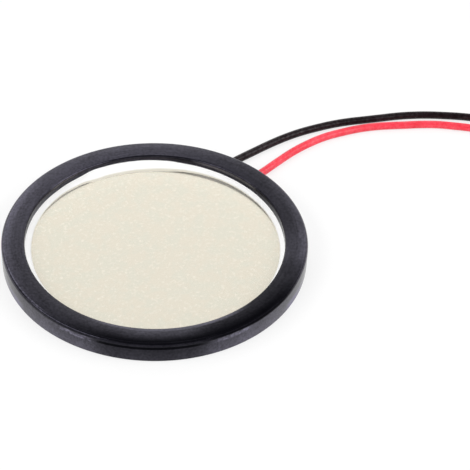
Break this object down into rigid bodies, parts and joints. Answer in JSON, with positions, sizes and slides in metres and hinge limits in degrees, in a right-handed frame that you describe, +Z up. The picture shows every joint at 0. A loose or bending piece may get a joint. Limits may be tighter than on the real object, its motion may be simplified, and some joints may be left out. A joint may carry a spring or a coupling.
{
  "type": "piezo element",
  "caption": "Round piezo element: a thin metal diaphragm with a ceramic disc underneath, bonded into a black plastic ring, with red and black leads that make or pick up sound.",
  "frame": {"origin": "middle of the ring's underside", "axes": "+Z up along the ring's axis, out of the side with the bare metal plate; the leads leave towards +X and +Y"},
  "size_m": [0.0949, 0.0525, 0.0031],
  "materials": {
    "ring_plastic": "glossy moulded black",
    "plate_metal": "satin pale nickel alloy",
    "silicone": "white cured silicone",
    "piezo_ceramic": "unglazed beige",
    "silver": "matt fired silver",
    "solder": "bright solder",
    "tinned_copper": "tinned strands",
    "black_insulation": "soft PVC, low sheen",
    "red_insulation": "soft PVC, low sheen"
  },
  "bodies": {
    "root": {"mounting_ring": "ring_plastic", "diaphragm_plate": "plate_metal", "adhesive_bead": "silicone", "ceramic_disc": "piezo_ceramic", "silver_electrode": "silver", "black_solder_joint": "solder", "red_solder_joint": "solder", "black_inner_end": "tinned_copper", "red_inner_end": "tinned_copper", "black_lead": "black_insulation", "red_lead": "red_insulation", "black_tinned_end": "tinned_copper", "red_tinned_end": "tinned_copper"}
  },
  "joints": []
}
